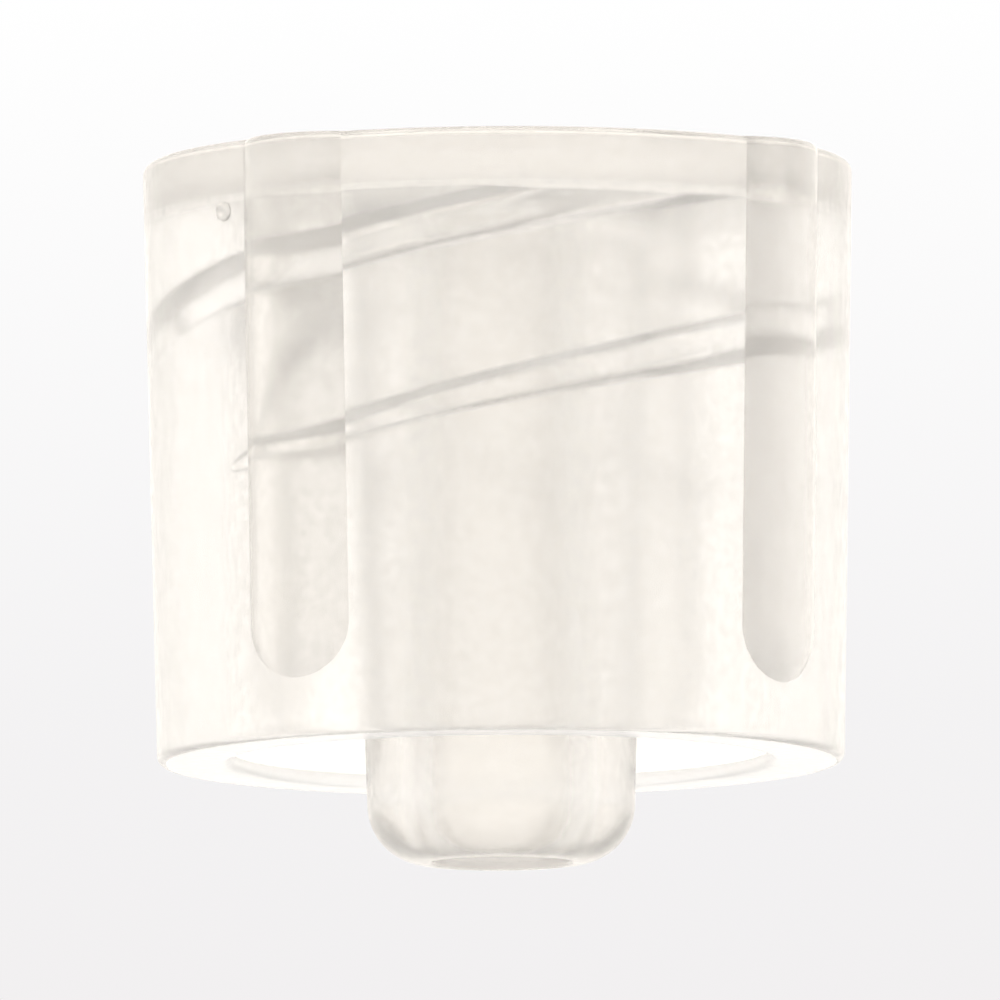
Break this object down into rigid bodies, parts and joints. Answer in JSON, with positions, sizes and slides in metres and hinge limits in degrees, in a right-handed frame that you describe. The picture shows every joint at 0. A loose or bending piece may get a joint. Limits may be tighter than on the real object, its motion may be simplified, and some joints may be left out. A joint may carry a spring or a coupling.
{
  "type": "luer lock cap",
  "caption": "Dead-end cap for a male luer lock connection: round ribbed collar with an internal lock thread, closed at one end, round a hollow tapered luer cone.",
  "frame": {"origin": "centre of the collar's open rim, on the axis of the luer cone", "axes": "+Z along the axis, from the open rim to the closed end; the cone's tip stands out towards -Z; -Y is the front"},
  "size_m": [0.0106, 0.0106, 0.0105],
  "materials": {
    "natural_polypropylene": "translucent unpigmented polypropylene, milky with a faint warm tint, satin moulded surface"
  },
  "bodies": {
    "root": {"lock_collar": "natural_polypropylene", "end_wall": "natural_polypropylene", "luer_cone": "natural_polypropylene", "thread_start_a": "natural_polypropylene", "thread_start_b": "natural_polypropylene", "grip_rib_1": "natural_polypropylene", "grip_rib_2": "natural_polypropylene", "grip_rib_3": "natural_polypropylene", "grip_rib_4": "natural_polypropylene", "gate_vestige": "natural_polypropylene"}
  },
  "joints": []
}
